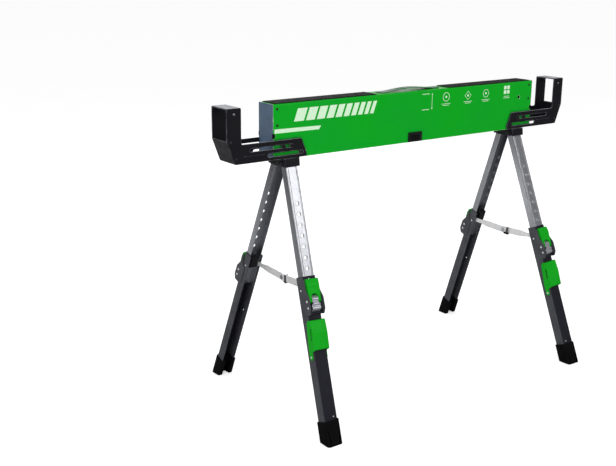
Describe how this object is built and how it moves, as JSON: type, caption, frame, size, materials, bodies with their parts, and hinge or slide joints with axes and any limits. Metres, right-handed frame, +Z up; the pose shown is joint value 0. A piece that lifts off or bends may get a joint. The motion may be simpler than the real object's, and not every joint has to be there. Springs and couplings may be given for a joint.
{
  "type": "folding sawhorse",
  "caption": "Height-adjustable folding sawhorse: steel channel beam, sliding lumber arms at both ends and two pairs of splayed telescoping legs with latches and rubber feet.",
  "frame": {"origin": "on the floor under the middle of the beam, at the centre of the bounding box's base", "axes": "+X along the beam to the right end, +Y to the back, +Z up"},
  "size_m": [1.191, 0.5662, 0.82],
  "materials": {
    "green_paint": "satin green enamel on sheet steel",
    "black_paint": "fine black powder coat",
    "charcoal_paint": "charcoal powder coat",
    "slate_paint": "satin blue-grey enamel",
    "zinc_plate": "bright zinc plating",
    "green_plastic": "moulded green plastic",
    "black_plastic": "moulded black plastic",
    "grip_rubber": "fine ribbed rubber",
    "foot_rubber": "moulded rubber"
  },
  "bodies": {
    "frame": {"beam": "green_paint", "left_top_grip": "grip_rubber", "right_top_grip": "grip_rubber", "carry_handle": "zinc_plate", "catch_housing": "black_plastic", "left_end_plate": "slate_paint", "right_end_plate": "slate_paint", "left_fold_pin": "zinc_plate", "right_fold_pin": "zinc_plate", "left_outer_guide_pin": "black_paint", "left_inner_guide_pin": "black_paint", "left_front_guide_stud": "black_paint", "left_back_guide_stud": "black_paint", "right_outer_guide_pin": "black_paint", "right_inner_guide_pin": "black_paint", "right_front_guide_stud": "black_paint", "right_back_guide_stud": "black_paint"},
    "catch_button": {"catch_button": "grip_rubber"},
    "left_arm": {"left_support_arm": "black_paint"},
    "right_arm": {"right_support_arm": "black_paint"},
    "left_hub": {"left_hub": "black_paint", "left_front_leg_bolt": "black_paint", "left_back_leg_bolt": "black_paint"},
    "left_front_upper_leg": {"left_front_upper_leg": "zinc_plate"},
    "left_front_strut": {"left_front_strut": "zinc_plate"},
    "left_front_lower_leg": {"left_front_lower_leg": "charcoal_paint", "left_front_foot": "foot_rubber", "left_front_latch_bracket": "charcoal_paint", "left_front_latch_pin": "zinc_plate"},
    "left_front_latch": {"left_front_latch": "green_plastic"},
    "left_board_rest": {"left_board_rest": "green_plastic"},
    "left_back_upper_leg": {"left_back_upper_leg": "zinc_plate"},
    "left_back_strut": {"left_back_strut": "zinc_plate", "left_strut_rivet": "zinc_plate"},
    "left_back_lower_leg": {"left_back_lower_leg": "charcoal_paint", "left_back_foot": "foot_rubber", "left_back_latch_bracket": "charcoal_paint", "left_back_latch_pin": "zinc_plate"},
    "left_back_latch": {"left_back_latch": "green_plastic"},
    "right_hub": {"right_hub": "black_paint", "right_front_leg_bolt": "black_paint", "right_back_leg_bolt": "black_paint"},
    "right_front_upper_leg": {"right_front_upper_leg": "zinc_plate"},
    "right_front_strut": {"right_front_strut": "zinc_plate"},
    "right_front_lower_leg": {"right_front_lower_leg": "charcoal_paint", "right_front_foot": "foot_rubber", "right_front_latch_bracket": "charcoal_paint", "right_front_latch_pin": "zinc_plate"},
    "right_front_latch": {"right_front_latch": "green_plastic"},
    "right_board_rest": {"right_board_rest": "green_plastic"},
    "right_back_upper_leg": {"right_back_upper_leg": "zinc_plate"},
    "right_back_strut": {"right_back_strut": "zinc_plate", "right_strut_rivet": "zinc_plate"},
    "right_back_lower_leg": {"right_back_lower_leg": "charcoal_paint", "right_back_foot": "foot_rubber", "right_back_latch_bracket": "charcoal_paint", "right_back_latch_pin": "zinc_plate"},
    "right_back_latch": {"right_back_latch": "green_plastic"}
  },
  "joints": [
    {"name": "catch_press", "type": "slide", "parent": "frame", "child": "catch_button", "axis": [0, 1, 0], "range_m": [0, 0.004], "stiffness_N_per_m": 900, "springref_m": -0.002},
    {"name": "left_arm_slide", "type": "slide", "parent": "frame", "child": "left_arm", "axis": [1, 0, 0], "range_m": [0, 0.09]},
    {"name": "right_arm_slide", "type": "slide", "parent": "frame", "child": "right_arm", "axis": [-1, 0, 0], "range_m": [0, 0.09]},
    {"name": "left_fold", "type": "hinge", "parent": "frame", "child": "left_hub", "pos_m": [-0.366, 0, 0.69], "axis": [0, -1, 0], "range_deg": [0, 92]},
    {"name": "left_front_leg_spread", "type": "hinge", "parent": "left_hub", "child": "left_front_upper_leg", "pos_m": [-0.407, -0.022, 0.662], "axis": [1, 0, 0], "range_deg": [0, 19.9]},
    {"name": "left_front_strut_fold", "type": "hinge", "parent": "left_front_upper_leg", "child": "left_front_strut", "pos_m": [-0.4115, -0.12441, 0.36058], "axis": [1, 0, 0], "range_deg": [0, 65.63]},
    {"name": "left_front_leg_extension", "type": "slide", "parent": "left_front_upper_leg", "child": "left_front_lower_leg", "axis": [0.0537, 0.3478, 0.936], "range_m": [0, 0.1918]},
    {"name": "left_front_latch_lift", "type": "hinge", "parent": "left_front_lower_leg", "child": "left_front_latch", "pos_m": [-0.42591, -0.1599, 0.33827], "axis": [0.9986, -0.0187, -0.0504], "range_deg": [0, 15], "stiffness_Nm_per_rad": 0.5, "springref_deg": -14.32},
    {"name": "left_rest_swing", "type": "hinge", "parent": "left_front_lower_leg", "child": "left_board_rest", "pos_m": [-0.43333, -0.1915, 0.203], "axis": [0.9986, -0.0187, -0.0504], "range_deg": [0, 90]},
    {"name": "left_back_leg_spread", "type": "hinge", "parent": "left_hub", "child": "left_back_upper_leg", "pos_m": [-0.407, 0.022, 0.662], "axis": [-1, 0, 0], "range_deg": [0, 19.9]},
    {"name": "left_back_strut_fold", "type": "hinge", "parent": "left_back_upper_leg", "child": "left_back_strut", "pos_m": [-0.4115, 0.12441, 0.36058], "axis": [-1, 0, 0], "range_deg": [0, 65.63]},
    {"name": "left_back_leg_extension", "type": "slide", "parent": "left_back_upper_leg", "child": "left_back_lower_leg", "axis": [0.0537, -0.3478, 0.936], "range_m": [0, 0.1918]},
    {"name": "left_back_latch_lift", "type": "hinge", "parent": "left_back_lower_leg", "child": "left_back_latch", "pos_m": [-0.42591, 0.1599, 0.33827], "axis": [-0.9986, -0.0187, 0.0504], "range_deg": [0, 15], "stiffness_Nm_per_rad": 0.5, "springref_deg": -14.32},
    {"name": "right_fold", "type": "hinge", "parent": "frame", "child": "right_hub", "pos_m": [0.366, 0, 0.69], "axis": [0, 1, 0], "range_deg": [0, 69]},
    {"name": "right_front_leg_spread", "type": "hinge", "parent": "right_hub", "child": "right_front_upper_leg", "pos_m": [0.407, -0.022, 0.662], "axis": [1, 0, 0], "range_deg": [0, 19.9]},
    {"name": "right_front_strut_fold", "type": "hinge", "parent": "right_front_upper_leg", "child": "right_front_strut", "pos_m": [0.4115, -0.12441, 0.36058], "axis": [1, 0, 0], "range_deg": [0, 65.63]},
    {"name": "right_front_leg_extension", "type": "slide", "parent": "right_front_upper_leg", "child": "right_front_lower_leg", "axis": [-0.0537, 0.3478, 0.936], "range_m": [0, 0.1918]},
    {"name": "right_front_latch_lift", "type": "hinge", "parent": "right_front_lower_leg", "child": "right_front_latch", "pos_m": [0.42591, -0.1599, 0.33827], "axis": [0.9986, 0.0187, 0.0504], "range_deg": [0, 15], "stiffness_Nm_per_rad": 0.5, "springref_deg": -14.32},
    {"name": "right_rest_swing", "type": "hinge", "parent": "right_front_lower_leg", "child": "right_board_rest", "pos_m": [0.43333, -0.1915, 0.203], "axis": [0.9986, 0.0187, 0.0504], "range_deg": [0, 90]},
    {"name": "right_back_leg_spread", "type": "hinge", "parent": "right_hub", "child": "right_back_upper_leg", "pos_m": [0.407, 0.022, 0.662], "axis": [-1, 0, 0], "range_deg": [0, 19.9]},
    {"name": "right_back_strut_fold", "type": "hinge", "parent": "right_back_upper_leg", "child": "right_back_strut", "pos_m": [0.4115, 0.12441, 0.36058], "axis": [-1, 0, 0], "range_deg": [0, 65.63]},
    {"name": "right_back_leg_extension", "type": "slide", "parent": "right_back_upper_leg", "child": "right_back_lower_leg", "axis": [-0.0537, -0.3478, 0.936], "range_m": [0, 0.1918]},
    {"name": "right_back_latch_lift", "type": "hinge", "parent": "right_back_lower_leg", "child": "right_back_latch", "pos_m": [0.42591, 0.1599, 0.33827], "axis": [-0.9986, 0.0187, -0.0504], "range_deg": [0, 15], "stiffness_Nm_per_rad": 0.5, "springref_deg": -14.32}
  ],
  "couplings": [
    {"joint": "left_back_leg_spread", "follows": "left_front_leg_spread", "ratio": 1},
    {"joint": "left_front_strut_fold", "follows": "left_front_leg_spread", "ratio": 3.2976},
    {"joint": "left_back_strut_fold", "follows": "left_front_leg_spread", "ratio": 3.2976},
    {"joint": "right_back_leg_spread", "follows": "right_front_leg_spread", "ratio": 1},
    {"joint": "right_front_strut_fold", "follows": "right_front_leg_spread", "ratio": 3.2976},
    {"joint": "right_back_strut_fold", "follows": "right_front_leg_spread", "ratio": 3.2976}
  ]
}
